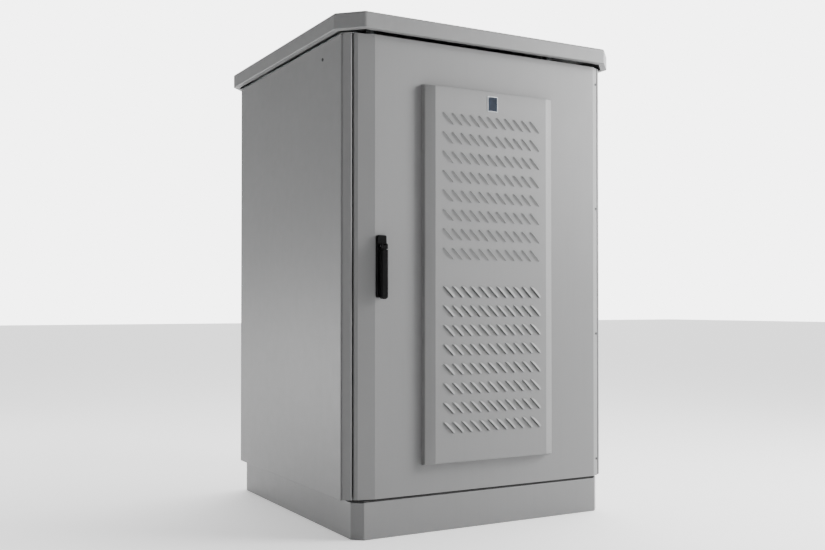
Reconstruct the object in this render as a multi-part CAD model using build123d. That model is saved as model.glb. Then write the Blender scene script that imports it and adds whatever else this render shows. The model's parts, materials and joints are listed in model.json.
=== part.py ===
from build123d import *
import math
import os

# Outdoor battery cabinet: a welded plinth, a frame of four folded posts, three fixed panels, one door with a
# fan and filter unit behind a louvred cover, an overhanging roof, and twelve batteries on shelves inside.
# Millimetres. +Z is up, the door faces -Y, and the origin is on the floor under the middle of the roof.

# ---- Driving dimensions ---------------------------------------------------------------------------------
TOTAL_HEIGHT = 1367.5
ROOF_HALF = 455.0
ROOF_CORNER = 61.0
ROOF_FASCIA = 44.0
ROOF_LIP = 15.0

PLINTH_HALF_X = 407.0
PLINTH_HALF_Y = 421.0
PLINTH_CORNER = 26.0
PLINTH_HEIGHT = 97.0
PLINTH_FLANGE = 45.0
ANCHOR_X = 380.0
ANCHOR_Y = 385.0
ANCHOR_RADIUS = 7.0

SHEET = 2.0
BEND = 2.5
PANEL_JOINT = 0.6
GASKET_GAP = 4.0
TRAY_SHEET = 2.5

BODY_HALF_X = 431.0
BODY_BACK = 425.0
FRONT_FOLD_Y = -384.5
REAR_FOLD_Y = 387.5
REAR_FOLD_X = 393.0
POST_GUTTER_X = 407.5
PAN_DEPTH = 17.5
PANEL_BOTTOM = 100.5
PANEL_TOP = 1319.0
FRAME_TOP = 1320.5

DOOR_FACE = -422.0
DOOR_BACK = -385.0
DOOR_HALF_X = 402.0
DOOR_BOTTOM = 103.5
DOOR_TOP = 1318.5
SEAL_FACE = -379.0
SEAL_LIP_TIP = -405.7
SEAL_LIP_X = 362.0
SILL_TOP = 147.0
HEADER_BOTTOM = 1273.0

HINGE_X = 393.0
HINGE_Y = -406.0
HINGE_HEIGHTS = (153.0, 525.0, 897.0, 1269.0)
HINGE_PIN_RADIUS = 2.5
RUNNING_CLEARANCE = 0.05

COVER_HALF_X = 210.0
COVER_FLAT_HALF_X = 183.0
COVER_FACE = -450.0
COVER_SHOULDER = -440.0
COVER_BOTTOM = 181.5
COVER_TOP = 1202.5
COVER_END_RISE = 5.0
LOUVRE_COLUMNS = 11
LOUVRE_ROWS = 8
LOUVRE_PITCH_X = 28.6
LOUVRE_PITCH_Z = 52.1
LOUVRE_TOP_ROWS = (1113.0, 645.0)
LOUVRE_LENGTH = 44.0
LOUVRE_SLOT = 5.0

HANDLE_X = -334.4
HANDLE_PIVOT_Z = 763.0
HANDLE_HALF_WIDTH = 13.7
HANDLE_BOTTOM = 629.0
HANDLE_TOP = 792.0
HANDLE_HOUSING_FACE = -433.0
LIFT_AXIS_Y = -442.0
LIFT_AXIS_Z = 762.0
SPINDLE_RADIUS = 6.0

CRANK_RADIUS = 12.7
CRANK_PIN_RADIUS = 2.5
ROD_OFFSET = 10.8
ROD_WIDTH = 15.0
ROD_FRONT = -395.0
ROD_BACK = -391.0
KEEPER_GAP = 1.5

FAN_HEIGHTS = (1020.0, 836.0)
FAN_SIDE = 172.0
FAN_BACK = -369.0
FAN_BORE = 79.0
BLADE_TIP = 76.0
BLADE_COUNT = 7
FILTER_CENTRE_Z = 459.0
FILTER_HALF_X = 170.0
FILTER_HALF_Z = 190.0

RAIL_INNER_X = 235.0
RAIL_OUTER_X = 265.0
RAIL_FRONT = -310.0
RAIL_REAR = 120.0
RAIL_DEPTH = 35.0
RACK_UNIT = 44.45

SHELF_HEIGHTS = (140.0, 480.0, 820.0)
BATTERY_WIDTH = 108.0
BATTERY_DEPTH = 395.0
BATTERY_HEIGHT = 286.0
BATTERY_PITCH = 113.0
BATTERY_FRONT = -304.0
BATTERIES_PER_SHELF = 4

BREAKER_AXIS_Y = -319.0
BREAKER_AXIS_Z = 1217.0
BREAKER_NOSE = -320.0
BREAKERS = {"main": (-45.0, 54.0), "a": (9.5, 18.0), "b": (36.0, 18.0)}

TRAY_BOTTOM = PLINTH_HEIGHT + GASKET_GAP
TRAY_TOP = TRAY_BOTTOM + TRAY_SHEET
DOOR_INSIDE = DOOR_FACE + SHEET

DOOR_PLAN = (
    (-DOOR_HALF_X, DOOR_BACK),
    (-DOOR_HALF_X, -403.5),
    (-394.4, -410.5),
    (-350.0, DOOR_FACE),
    (378.0, DOOR_FACE),
    (DOOR_HALF_X, -410.0),
    (DOOR_HALF_X, DOOR_BACK),
)


# ---- Shared shapes --------------------------------------------------------------------------------------
def block(x_range, y_range, z_range):
    """A box between the given limits."""
    centre = [(low + high) / 2 for low, high in (x_range, y_range, z_range)]
    size = [high - low for low, high in (x_range, y_range, z_range)]
    return Pos(*centre) * Box(*size)


def prism(points, z_low, z_high):
    """An upright prism over a plan outline."""
    outline = make_face(Polyline(*points, close=True))
    return Pos(0, 0, z_low) * extrude(outline, amount=z_high - z_low, dir=(0, 0, 1))


def cut_corner_outline(half_x, half_y, corner, inset=0.0):
    """A rectangle with its four corners cut at 45 degrees, drawn in by an even inset."""
    x = half_x - inset
    y = half_y - inset
    leg = corner - inset * (2 - math.sqrt(2))
    return [(x, leg - y), (x, y - leg), (x - leg, y), (leg - x, y),
            (-x, y - leg), (-x, leg - y), (leg - x, -y), (x - leg, -y)]


def rod_x(radius, x_low, x_high, y, z):
    """A cylinder along X."""
    return Pos((x_low + x_high) / 2, y, z) * Rot(0, 90, 0) * Cylinder(radius, x_high - x_low)


def rod_y(radius, y_low, y_high, x, z):
    """A cylinder along Y."""
    return Pos(x, (y_low + y_high) / 2, z) * Rot(90, 0, 0) * Cylinder(radius, y_high - y_low)


def rod_z(radius, z_low, z_high, x, y):
    """A cylinder along Z."""
    return Pos(x, y, (z_low + z_high) / 2) * Cylinder(radius, z_high - z_low)


def folded_sheet(points, side, z_low, z_high, bend=BEND):
    """An upright sheet folded along a plan line, its thickness on the given side of that line."""
    line = FilletPolyline(*points, radius=bend)
    outline = make_face(offset(line, amount=SHEET, side=side).edges())
    return Pos(0, 0, z_low) * extrude(outline, amount=z_high - z_low, dir=(0, 0, 1))


def closing_edge(start, end):
    """The straight edge that closes an open outline."""
    return ShapeList([Edge.make_line((*start, 0), (*end, 0))])


def mirrored(shape):
    """The same shape on the other side of the cabinet."""
    return mirror(shape, about=Plane.YZ)


def save(name, shapes):
    """Writes one node, whose pieces stay separate solids."""
    pieces = []
    for shape in (shapes if isinstance(shapes, (list, tuple)) else [shapes]):
        pieces.extend(shape.solids())
    export_step(pieces[0] if len(pieces) == 1 else Compound(children=pieces), f"parts/{name}.step")


# ---- Plinth and floor -----------------------------------------------------------------------------------
PLINTH_BOLTS = [(x, y) for x in (-385.0, 385.0) for y in (-300.0, 300.0)]
PLINTH_SHEET = 2.5
BOLT_HOLE_RADIUS = 6.5
BOLT_RADIUS = 6.0


def plinth():
    """A folded ring with flanges turned in along its top and bottom edges."""
    outline = cut_corner_outline(PLINTH_HALF_X, PLINTH_HALF_Y, PLINTH_CORNER)
    ring = prism(outline, 0, PLINTH_HEIGHT)
    ring = fillet(ring.edges().filter_by(Axis.Z), 4)
    ring = fillet(ring.faces().sort_by(Axis.Z)[-1].edges(), 2.4)
    inner = cut_corner_outline(PLINTH_HALF_X, PLINTH_HALF_Y, PLINTH_CORNER, PLINTH_SHEET)
    ring -= prism(inner, PLINTH_SHEET, PLINTH_HEIGHT - PLINTH_SHEET)
    mouth_x = PLINTH_HALF_X - PLINTH_FLANGE
    mouth_y = PLINTH_HALF_Y - PLINTH_FLANGE
    ring -= block((-mouth_x, mouth_x), (-mouth_y, mouth_y), (-1, PLINTH_HEIGHT + 1))
    for x in (-ANCHOR_X, ANCHOR_X):
        for y in (-ANCHOR_Y, ANCHOR_Y):
            ring -= rod_z(ANCHOR_RADIUS, -1, PLINTH_SHEET + 1, x, y)
    for x, y in PLINTH_BOLTS:
        ring -= rod_z(BOLT_HOLE_RADIUS, PLINTH_HEIGHT - PLINTH_SHEET - 1, PLINTH_HEIGHT + 1, x, y)
    return ring


def plinth_gasket():
    """A flat rubber ring between the plinth and the floor tray."""
    outline = cut_corner_outline(PLINTH_HALF_X, PLINTH_HALF_Y, PLINTH_CORNER, 3)
    ring = prism(outline, PLINTH_HEIGHT, TRAY_BOTTOM)
    ring -= block((-500, 500), (BODY_BACK - PAN_DEPTH - 1, 500), (PLINTH_HEIGHT - 1, TRAY_BOTTOM + 1))
    ring -= block((-374, 374), (-376, 376), (PLINTH_HEIGHT - 1, TRAY_BOTTOM + 1))
    for x, y in PLINTH_BOLTS:
        ring -= rod_z(BOLT_HOLE_RADIUS, PLINTH_HEIGHT - 1, TRAY_BOTTOM + 1, x, y)
    return ring


GLAND_PLATE_Y = 300.0
GLAND_POSITIONS = (-105.0, -35.0, 35.0, 105.0)
GLAND_THREAD_RADIUS = 16.0
GLAND_THREAD_BOTTOM = TRAY_TOP - 18.5


def base_tray():
    """The floor sheet, with a cut-out for the cable gland plate and holes for the plinth bolts."""
    tray = prism(cut_corner_outline(406, 399, 24), TRAY_BOTTOM, TRAY_TOP)
    tray -= block((-140, 140), (GLAND_PLATE_Y - 45, GLAND_PLATE_Y + 45), (TRAY_BOTTOM - 1, TRAY_TOP + 1))
    for x, y in PLINTH_BOLTS:
        tray -= rod_z(BOLT_HOLE_RADIUS, TRAY_BOTTOM - 1, TRAY_TOP + 1, x, y)
    return tray


def gland_plate():
    """A removable plate over the floor's cable cut-out."""
    plate = block((-160, 160), (GLAND_PLATE_Y - 60, GLAND_PLATE_Y + 60), (TRAY_TOP, TRAY_TOP + 3))
    plate = fillet(plate.edges().filter_by(Axis.Z), 8)
    for x in GLAND_POSITIONS:
        plate -= rod_z(GLAND_THREAD_RADIUS + 0.2, TRAY_TOP - 1, TRAY_TOP + 4, x, GLAND_PLATE_Y)
    return plate


def cable_glands():
    """Four glands: a thread through the plate, a hexagon and dome above it, and a lock nut below it."""
    glands = []
    plate_top = TRAY_TOP + 3
    for x in GLAND_POSITIONS:
        hexagon = extrude(RegularPolygon(22, 6), amount=10)
        gland = Pos(x, GLAND_PLATE_Y, plate_top) * hexagon
        gland += rod_z(GLAND_THREAD_RADIUS, GLAND_THREAD_BOTTOM, plate_top + 1, x, GLAND_PLATE_Y)
        dome = rod_z(18, plate_top + 9, plate_top + 30, x, GLAND_PLATE_Y)
        gland += fillet(dome.faces().sort_by(Axis.Z)[-1].edges(), 6)
        gland += Pos(x, GLAND_PLATE_Y, TRAY_TOP - 7) * extrude(RegularPolygon(21, 6), amount=7)
        gland -= rod_z(9, GLAND_THREAD_BOTTOM - 1, plate_top + 31, x, GLAND_PLATE_Y)
        glands.append(gland)
    return glands


def plinth_bolts():
    """Four bolts through the floor tray, the gasket and the plinth's top flange, each with its nut."""
    bolts = []
    flange_bottom = PLINTH_HEIGHT - PLINTH_SHEET
    for x, y in PLINTH_BOLTS:
        bolt = rod_z(BOLT_RADIUS, flange_bottom - 16, TRAY_TOP + 1, x, y)
        bolt += Pos(x, y, TRAY_TOP) * extrude(RegularPolygon(10.5, 6), amount=7.5)
        bolt += Pos(x, y, flange_bottom - 10) * extrude(RegularPolygon(10.5, 6), amount=10)
        bolts.append(bolt)
    return bolts


# ---- Frame ----------------------------------------------------------------------------------------------
def front_post():
    """The left front post: seal lip, seal face, gutter wall, 45 degree corner face and two inner returns."""
    corner_x = BODY_HALF_X - 0.5
    gutter_y = FRONT_FOLD_Y - corner_x + POST_GUTTER_X
    line = [(-SEAL_LIP_X, SEAL_LIP_TIP), (-SEAL_LIP_X, SEAL_FACE), (-POST_GUTTER_X, SEAL_FACE),
            (-POST_GUTTER_X, gutter_y), (-corner_x, FRONT_FOLD_Y),
            (-412, FRONT_FOLD_Y), (-412, -340), (-385, -340)]
    post = folded_sheet(line, Side.LEFT, TRAY_TOP, FRAME_TOP)
    for z_range in ((TRAY_TOP - 1, SILL_TOP), (HEADER_BOTTOM, FRAME_TOP + 1)):
        post -= block((-SEAL_LIP_X - 1, -355), (-410, SEAL_FACE), z_range)
        post -= block((-358, -350), (-410, -300), z_range)
    return post


def rear_post():
    """The left rear post: a 45 degree corner face between two returns that carry the panels."""
    corner_y = BODY_BACK - 0.5
    corner_x = REAR_FOLD_X + corner_y - REAR_FOLD_Y
    line = [(-360, 402), (-REAR_FOLD_X, 402), (-REAR_FOLD_X, corner_y),
            (-corner_x, REAR_FOLD_Y), (-409, REAR_FOLD_Y)]
    post = folded_sheet(line, Side.RIGHT, TRAY_TOP, FRAME_TOP)
    return post + block((-410.5, -408.5), (340, REAR_FOLD_Y + SHEET), (TRAY_TOP, FRAME_TOP))


def cross_member(z_low, z_high, lip_z):
    """A hollow rail between the front posts, with the seal lip along it."""
    beam = block((-359.8, 359.8), (SEAL_FACE, -340), (z_low, z_high))
    beam -= block((-370, 370), (SEAL_FACE + SHEET, -342), (z_low + SHEET, z_high - SHEET))
    beam += block((-SEAL_LIP_X, SEAL_LIP_X), (SEAL_LIP_TIP, SEAL_FACE), (lip_z, lip_z + SHEET))
    return beam


def front_sill():
    return cross_member(TRAY_TOP, SILL_TOP, SILL_TOP - SHEET)


def front_header():
    return cross_member(HEADER_BOTTOM, FRAME_TOP, HEADER_BOTTOM)


SPACER_POSITIONS = [(x, y) for x in (-300.0, 300.0) for y in (-300.0, 300.0)]
TOP_SHEET = 2.0


def top_plate():
    """The cabinet's ceiling, which carries the roof on four spacers."""
    left = [(-403, -401), (-428, -376), (-428, 387), (-392, 423)]
    right = [(-x, y) for x, y in reversed(left)]
    plate = prism(left + right, FRAME_TOP, FRAME_TOP + TOP_SHEET)
    for x, y in SPACER_POSITIONS:
        plate -= rod_z(4.5, FRAME_TOP - 1, FRAME_TOP + TOP_SHEET + 1, x, y)
    return plate


def roof_cap():
    """A folded lid with cut corners, a straight fascia and a lip turned in along the fascia's lower edge."""
    bottom = TOTAL_HEIGHT - ROOF_FASCIA
    cap = prism(cut_corner_outline(ROOF_HALF, ROOF_HALF, ROOF_CORNER), bottom, TOTAL_HEIGHT)
    cap = fillet(cap.edges().filter_by(Axis.Z), 9)
    cap = fillet(cap.faces().sort_by(Axis.Z)[-1].edges(), 6.5)
    cap = fillet(cap.faces().sort_by(Axis.Z)[0].edges(), 2.5)
    inner = cut_corner_outline(ROOF_HALF, ROOF_HALF, ROOF_CORNER, SHEET)
    hollow = prism(inner, bottom + SHEET, TOTAL_HEIGHT - SHEET)
    hollow = fillet(hollow.edges().filter_by(Axis.Z), 7)
    hollow = fillet(hollow.faces().sort_by(Axis.Z)[-1].edges(), 4.5)
    cap -= hollow
    lip_opening = cut_corner_outline(ROOF_HALF, ROOF_HALF, ROOF_CORNER, SHEET + ROOF_LIP)
    cap -= prism(lip_opening, bottom - 1, bottom + 3)
    return cap


def roof_spacers():
    """Four threaded spacers welded under the roof sheet."""
    spacers = []
    for x, y in SPACER_POSITIONS:
        spacer = rod_z(14, FRAME_TOP + TOP_SHEET, TOTAL_HEIGHT - SHEET, x, y)
        spacers.append(spacer - rod_z(4.05, FRAME_TOP, FRAME_TOP + 32, x, y))
    return spacers


def roof_bolts():
    """Four bolts that hold the roof from inside the cabinet."""
    bolts = []
    for x, y in SPACER_POSITIONS:
        bolt = rod_z(4, FRAME_TOP - 1, FRAME_TOP + 28, x, y)
        bolts.append(bolt + Pos(x, y, FRAME_TOP - 5.3) * extrude(RegularPolygon(7.5, 6), amount=5.3))
    return bolts


# ---- Fixed panels ---------------------------------------------------------------------------------------
SIDE_SCREW_Y = -268.0
SCREW_Z = 1275.0
REAR_SCREW_X = 268.0
SCREW_HOLE_RADIUS = 3.4
INSULATION = 12.0
PANEL_BEND = 2.2
SIDE_RANGE = (FRONT_FOLD_Y + PANEL_JOINT, REAR_FOLD_Y - PANEL_JOINT)
REAR_HALF_X = REAR_FOLD_X - PANEL_JOINT


def pan(x_range, y_range, z_range, outward):
    """A shallow folded pan whose outer face looks along the given axis."""
    shell = block(x_range, y_range, z_range)
    face = shell.faces().sort_by(outward)[-1]
    ends = shell.edges().filter_by(Axis.X if outward.direction.X else Axis.Y)
    shell = fillet(face.edges() + ends, PANEL_BEND)
    inside = [(low + SHEET, high - SHEET) for low, high in (x_range, y_range, z_range)]
    open_axis = 0 if outward.direction.X else 1
    low, high = (x_range, y_range)[open_axis]
    towards = outward.direction.X + outward.direction.Y
    inside[open_axis] = (low - 1, high - SHEET) if towards > 0 else (low + SHEET, high + 1)
    return shell - block(*inside)


def side_panel():
    """The left side panel."""
    x_range = (-BODY_HALF_X, -BODY_HALF_X + PAN_DEPTH)
    panel = pan(x_range, SIDE_RANGE, (PANEL_BOTTOM, PANEL_TOP), Axis((0, 0, 0), (-1, 0, 0)))
    return panel - rod_x(SCREW_HOLE_RADIUS, -BODY_HALF_X - 1, -BODY_HALF_X + 3, SIDE_SCREW_Y, SCREW_Z)


def rear_panel():
    y_range = (BODY_BACK - PAN_DEPTH, BODY_BACK)
    x_range = (-REAR_HALF_X, REAR_HALF_X)
    panel = pan(x_range, y_range, (PANEL_BOTTOM, PANEL_TOP), Axis((0, 0, 0), (0, 1, 0)))
    for x in (-REAR_SCREW_X, REAR_SCREW_X):
        panel -= rod_y(SCREW_HOLE_RADIUS, BODY_BACK - 3, BODY_BACK + 1, x, SCREW_Z)
    return panel


def panel_brackets():
    """Four angles under the ceiling that take the panel screws."""
    brackets = []
    side = block((-408, -405), (SIDE_SCREW_Y - 15, SIDE_SCREW_Y + 15), (1255, FRAME_TOP))
    side += block((-408, -380), (SIDE_SCREW_Y - 15, SIDE_SCREW_Y + 15), (FRAME_TOP - 3, FRAME_TOP))
    side -= rod_x(3.0, -410, -400, SIDE_SCREW_Y, SCREW_Z)
    brackets += [side, mirrored(side)]
    rear = block((-REAR_SCREW_X - 15, -REAR_SCREW_X + 15), (399, 402), (1255, FRAME_TOP))
    rear += block((-REAR_SCREW_X - 15, -REAR_SCREW_X + 15), (375, 402), (FRAME_TOP - 3, FRAME_TOP))
    rear -= rod_y(3.0, 395, 405, -REAR_SCREW_X, SCREW_Z)
    brackets += [rear, mirrored(rear)]
    return brackets


def panel_screws():
    """One low button-head screw near the top front of each side panel and two on the rear panel."""
    side = rod_x(3.0, -BODY_HALF_X, -402, SIDE_SCREW_Y, SCREW_Z)
    head = rod_x(4.5, -BODY_HALF_X - 1.6, -BODY_HALF_X, SIDE_SCREW_Y, SCREW_Z)
    head = fillet(head.faces().sort_by(Axis.X)[0].edges(), 1.0)
    side += head - rod_x(1.6, -BODY_HALF_X - 2, -BODY_HALF_X - 0.6, SIDE_SCREW_Y, SCREW_Z)
    rear = rod_y(3.0, 396, BODY_BACK, -REAR_SCREW_X, SCREW_Z)
    head = rod_y(4.5, BODY_BACK, BODY_BACK + 1.6, -REAR_SCREW_X, SCREW_Z)
    head = fillet(head.faces().sort_by(Axis.Y)[-1].edges(), 1.0)
    rear += head - rod_y(1.6, BODY_BACK + 0.6, BODY_BACK + 2, -REAR_SCREW_X, SCREW_Z)
    return [side, mirrored(side), rear, mirrored(rear)]


def insulation_boards():
    """Foam boards inside the side and rear panels, with clearance holes for the screws."""
    inner_x = -BODY_HALF_X + SHEET
    side = block((inner_x, inner_x + INSULATION), (SIDE_RANGE[0] + 3, SIDE_RANGE[1] - 3), (104, 1312))
    side -= rod_x(7, inner_x - 1, inner_x + INSULATION + 1, SIDE_SCREW_Y, SCREW_Z)
    inner_y = BODY_BACK - SHEET
    rear = block((3 - REAR_HALF_X, REAR_HALF_X - 3), (inner_y - INSULATION, inner_y), (104, 1312))
    for x in (-REAR_SCREW_X, REAR_SCREW_X):
        rear -= rod_y(7, inner_y - INSULATION - 1, inner_y + 1, x, SCREW_Z)
    return [side, mirrored(side), rear]


# ---- Door -----------------------------------------------------------------------------------------------
DOOR_BEND = 2.5
HINGE_NOTCH = 28.0
FAN_OPENING = 76.0


def door_chamfer_waste():
    """The wedge in front of the door skin's shallow left chamfer, where inner parts can't reach."""
    return prism([(-420, -440), (-349, -440), (-349.5, DOOR_INSIDE), (-394, -408.3), (-420, -400)], 100, 1320)


def door_skin():
    """A pan with a shallow chamfer and a narrow 45 degree strip down its left edge."""
    skin = folded_sheet(DOOR_PLAN, Side.LEFT, DOOR_BOTTOM, DOOR_TOP, bend=DOOR_BEND)
    closed_line = FilletPolyline(*DOOR_PLAN, radius=DOOR_BEND)
    end_face = make_face(closed_line.edges() + closing_edge(DOOR_PLAN[-1], DOOR_PLAN[0]))
    for z in (DOOR_BOTTOM, DOOR_TOP - SHEET):
        skin += Pos(0, 0, z) * extrude(end_face, amount=SHEET, dir=(0, 0, 1))
    for z in FAN_HEIGHTS:
        skin -= rod_y(FAN_OPENING, DOOR_FACE - 1, DOOR_INSIDE + 1, 0, z)
    window_z = (FILTER_CENTRE_Z - FILTER_HALF_Z + 20, FILTER_CENTRE_Z + FILTER_HALF_Z - 20)
    skin -= block((-150, 150), (DOOR_FACE - 1, DOOR_INSIDE + 1), window_z)
    skin -= rod_y(8, DOOR_FACE - 1, DOOR_INSIDE + 1, HANDLE_X, HANDLE_PIVOT_Z)
    for z in HINGE_HEIGHTS:
        skin -= block((385, 410), (-407.5, -380), (z - HINGE_NOTCH, z + HINGE_NOTCH))
        skin -= hinge_screw_shape(z, SCREW_SHANK + 0.2, 12)
    return skin


def door_stiffeners():
    """Two upright channels welded inside the door."""
    channel = block((205, 235), (DOOR_INSIDE, -398), (158, 1262))
    channel -= block((207, 233), (DOOR_INSIDE - 1, -400), (157, 1263))
    return [channel, mirrored(channel)]


def door_gasket():
    """A foam seal ring that closes on the frame's seal lips."""
    ring = block((-369, 369), (DOOR_INSIDE, -406), (139, 1281))
    ring -= block((-355, 355), (DOOR_INSIDE - 1, -400), (153, 1267))
    ring -= door_chamfer_waste()
    return ring


def louvre_centres():
    """The middles of all the slanted slots, two blocks of rows."""
    first_x = -LOUVRE_PITCH_X * (LOUVRE_COLUMNS - 1) / 2
    for top_row in LOUVRE_TOP_ROWS:
        for row in range(LOUVRE_ROWS):
            for column in range(LOUVRE_COLUMNS):
                yield first_x + column * LOUVRE_PITCH_X, top_row - row * LOUVRE_PITCH_Z


def cover_envelope(inset):
    """The space between the cover's two end walls, which slope in from the door to the cover's face."""
    back = DOOR_FACE + 1
    front = COVER_FACE - 1
    low = COVER_BOTTOM + inset
    high = COVER_TOP - inset
    profile = [(back, low), (front, low + COVER_END_RISE), (front, high - COVER_END_RISE), (back, high)]
    return extrude(Plane.YZ * make_face(Polyline(*profile, close=True)), amount=COVER_HALF_X + 1, both=True)


def vent_cover():
    """A tall sheet hood with chamfered sides, sloping ends and two blocks of slanted slots."""
    line = [(-COVER_HALF_X, DOOR_FACE), (-COVER_HALF_X, COVER_SHOULDER), (-COVER_FLAT_HALF_X, COVER_FACE),
            (COVER_FLAT_HALF_X, COVER_FACE), (COVER_HALF_X, COVER_SHOULDER), (COVER_HALF_X, DOOR_FACE)]
    hood = folded_sheet(line, Side.LEFT, COVER_BOTTOM, COVER_TOP, bend=3.0)
    closed_line = FilletPolyline(*line, radius=3.0)
    end_face = make_face(closed_line.edges() + closing_edge(line[-1], line[0]))
    filled = Pos(0, 0, COVER_BOTTOM) * extrude(end_face, amount=COVER_TOP - COVER_BOTTOM, dir=(0, 0, 1))
    hood += filled - cover_envelope(SHEET)
    hood &= cover_envelope(0)
    slot = Rot(0, 45, 0) * Box(LOUVRE_LENGTH, 6, LOUVRE_SLOT)
    slots = [Pos(x, COVER_FACE + 1, z) * slot for x, z in louvre_centres()]
    return hood - slots


def badge():
    """A small blank plate on the cover."""
    plate = block((-17, 17), (COVER_FACE - 1.2, COVER_FACE), (1143, 1186))
    return fillet(plate.edges().filter_by(Axis.Y), 2)


# ---- Fans and filter ------------------------------------------------------------------------------------
HUB_RADIUS = 31.0
FAN_SHAFT_RADIUS = 4.0


def fan_frames():
    """Two square fan housings, each with a hub carried on three struts."""
    frames = []
    half = FAN_SIDE / 2
    for z in FAN_HEIGHTS:
        frame = block((-half, half), (DOOR_INSIDE, FAN_BACK), (z - half, z + half))
        frame = fillet(frame.edges().filter_by(Axis.Y), 8)
        frame -= rod_y(FAN_BORE, DOOR_INSIDE - 1, FAN_BACK + 1, 0, z)
        for x_sign in (-1, 1):
            for z_sign in (-1, 1):
                hole_x = x_sign * (half - 11)
                hole_z = z + z_sign * (half - 11)
                frame -= rod_y(2.6, DOOR_INSIDE - 1, FAN_BACK + 1, hole_x, hole_z)
        frame += rod_y(HUB_RADIUS, FAN_BACK - 5, FAN_BACK, 0, z)
        for turn in (0, 120, 240):
            strut = Pos(0, FAN_BACK - 2.5, z) * Rot(0, turn, 0) * Pos(55, 0, 0) * Box(54, 5, 8)
            frame += strut
        frame -= rod_y(FAN_SHAFT_RADIUS + RUNNING_CLEARANCE, FAN_BACK - 6, FAN_BACK + 1, 0, z)
        frames.append(frame)
    return frames


def fan_rotor(z):
    """A hub with pitched blades and a stub shaft."""
    rotor = rod_y(HUB_RADIUS, -413, -375.5, 0, z)
    rotor = fillet(rotor.faces().sort_by(Axis.Y)[0].edges(), 4)
    rotor += rod_y(FAN_SHAFT_RADIUS, -376, FAN_BACK, 0, z)
    blade_length = BLADE_TIP - HUB_RADIUS + 2
    blade = Pos(HUB_RADIUS - 2 + blade_length / 2, 0, 0) * Rot(38, 0, 0) * Box(blade_length, 2.4, 36)
    for index in range(BLADE_COUNT):
        rotor += Pos(0, -394, z) * Rot(0, index * 360 / BLADE_COUNT, 0) * blade
    return rotor & rod_y(BLADE_TIP, -420, FAN_BACK, 0, z)


def fan_guards():
    """Two finger guards: rings joined by cross bars, on the fans' inner faces."""
    guards = []
    bar = 2.4
    for z in FAN_HEIGHTS:
        guard = None
        for radius in (20, 38, 56, 74):
            ring = rod_y(radius + bar / 2, FAN_BACK, FAN_BACK + bar, 0, z)
            ring -= rod_y(radius - bar / 2, FAN_BACK - 1, FAN_BACK + bar + 1, 0, z)
            guard = ring if guard is None else guard + ring
        for turn in (45, 135):
            arm = Pos(0, FAN_BACK + bar / 2, z) * Rot(0, turn, 0) * Box(2 * 108, bar, 7)
            guard += arm
        guards.append(guard)
    return guards


def filter_frame():
    """The cassette for the inlet filter, with a grid of bars behind the mat."""
    z_range = (FILTER_CENTRE_Z - FILTER_HALF_Z, FILTER_CENTRE_Z + FILTER_HALF_Z)
    inner_z = (z_range[0] + 12, z_range[1] - 12)
    frame = block((-FILTER_HALF_X, FILTER_HALF_X), (DOOR_INSIDE, -396), z_range)
    frame = fillet(frame.edges().filter_by(Axis.Y), 6)
    frame -= block((-FILTER_HALF_X + 12, FILTER_HALF_X - 12), (DOOR_INSIDE - 1, -395), inner_z)
    for index in range(1, 6):
        x = -FILTER_HALF_X + index * FILTER_HALF_X / 3
        frame += block((x - 2, x + 2), (-399, -396), inner_z)
    for index in range(1, 6):
        z = z_range[0] + index * FILTER_HALF_Z / 3
        frame += block((-FILTER_HALF_X + 11, FILTER_HALF_X - 11), (-399, -396), (z - 2, z + 2))
    return frame


def filter_mat():
    inner_z = (FILTER_CENTRE_Z - FILTER_HALF_Z + 12, FILTER_CENTRE_Z + FILTER_HALF_Z - 12)
    return block((-FILTER_HALF_X + 12, FILTER_HALF_X - 12), (DOOR_INSIDE, -402), inner_z)


# ---- Handle and lock ------------------------------------------------------------------------------------
TONGUE_HALF = 3.6
TONGUE_RADIUS = 5.2
LIFT_PIN_RADIUS = 2.0
GRIP_HALF = 10.0
GRIP_FACE = -450.0
GRIP_BACK = -436.0
PIVOT_FACE = -447.0
PIVOT_Z = (755.5, 770.0)


def handle_housing():
    """The handle's escutcheon on the door's face, with the spindle bore near its top."""
    x_range = (HANDLE_X - HANDLE_HALF_WIDTH, HANDLE_X + HANDLE_HALF_WIDTH)
    housing = block(x_range, (HANDLE_HOUSING_FACE, DOOR_FACE), (HANDLE_BOTTOM, HANDLE_TOP))
    housing = fillet(housing.edges().filter_by(Axis.Y), 4)
    housing = fillet(housing.faces().sort_by(Axis.Y)[0].edges(), 2)
    bore_radius = SPINDLE_RADIUS + RUNNING_CLEARANCE
    return housing - rod_y(bore_radius, HANDLE_HOUSING_FACE - 1, DOOR_FACE + 1, HANDLE_X, HANDLE_PIVOT_Z)


def handle_pivot():
    """The turning block on the spindle, slotted for the grip's tongue."""
    x_range = (HANDLE_X - GRIP_HALF, HANDLE_X + GRIP_HALF)
    notch_z = (PIVOT_Z[0] - 1, PIVOT_Z[1] - 1.5)
    head = block(x_range, (PIVOT_FACE, HANDLE_HOUSING_FACE - 0.3), PIVOT_Z)
    head = fillet(head.edges().filter_by(Axis.Y).sort_by(Axis.Z)[-2:], 4)
    head = fillet(head.faces().sort_by(Axis.Y)[0].edges(), 1.2)
    head -= block((HANDLE_X - 4, HANDLE_X + 4), (PIVOT_FACE - 1, GRIP_BACK), notch_z)
    head -= rod_x(LIFT_PIN_RADIUS, HANDLE_X - 14, HANDLE_X + 14, LIFT_AXIS_Y, LIFT_AXIS_Z)
    return head + rod_y(SPINDLE_RADIUS, HANDLE_HOUSING_FACE - 0.5, -399.5, HANDLE_X, HANDLE_PIVOT_Z)


def handle_pin():
    """The cross pin that the grip lifts on."""
    return rod_x(LIFT_PIN_RADIUS, HANDLE_X - GRIP_HALF, HANDLE_X + GRIP_HALF, LIFT_AXIS_Y, LIFT_AXIS_Z)


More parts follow.
